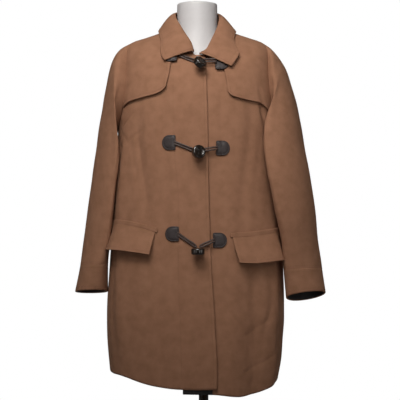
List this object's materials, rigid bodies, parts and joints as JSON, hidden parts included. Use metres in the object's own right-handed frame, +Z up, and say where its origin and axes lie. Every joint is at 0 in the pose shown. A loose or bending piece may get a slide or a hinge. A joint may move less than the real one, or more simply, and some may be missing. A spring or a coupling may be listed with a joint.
{
  "type": "duffle coat on dress form",
  "caption": "Knee-length wool duffle coat with shirt collar, storm capes, toggles and flap pockets, on a limbless dress form with a round base.",
  "frame": {"origin": "centre of the base's underside, on the pole's axis, at the floor", "axes": "+Z up, the coat's front faces -Y, its wearer's left is +X"},
  "size_m": [0.6221, 0.3614, 1.55],
  "materials": {
    "wool": "brushed camel wool, soft nap",
    "black_lining": "black facing and lining cloth",
    "leather": "dark brown-black grained leather",
    "cord": "round dark brown cord",
    "toggle": "polished dark horn",
    "form": "smooth white",
    "stand": "dark brushed steel"
  },
  "bodies": {
    "root": {"front_over": "wool", "front_under": "wool", "underlap_facing": "black_lining", "back": "wool", "cape_over": "wool", "cape_under": "wool", "pocket_flap_over": "wool", "pocket_welt_over": "wool", "pocket_flap_under": "wool", "pocket_welt_under": "wool", "topsleeve_over": "wool", "undersleeve_over": "wool", "cuff_over": "wool", "cuff_lining_over": "black_lining", "topsleeve_under": "wool", "undersleeve_under": "wool", "cuff_under": "wool", "cuff_lining_under": "black_lining", "collar_fall": "wool", "collar_stand": "wool", "tab_top_over": "leather", "tab_top_under": "leather", "toggle_cord_top": "cord", "loop_cord_top": "cord", "toggle_top": "toggle", "tab_middle_over": "leather", "tab_middle_under": "leather", "toggle_cord_middle": "cord", "loop_cord_middle": "cord", "toggle_middle": "toggle", "tab_bottom_over": "leather", "tab_bottom_under": "leather", "toggle_cord_bottom": "cord", "loop_cord_bottom": "cord", "toggle_bottom": "toggle", "dress_form": "form", "base": "stand", "pole": "stand", "hub": "stand"}
  },
  "joints": []
}
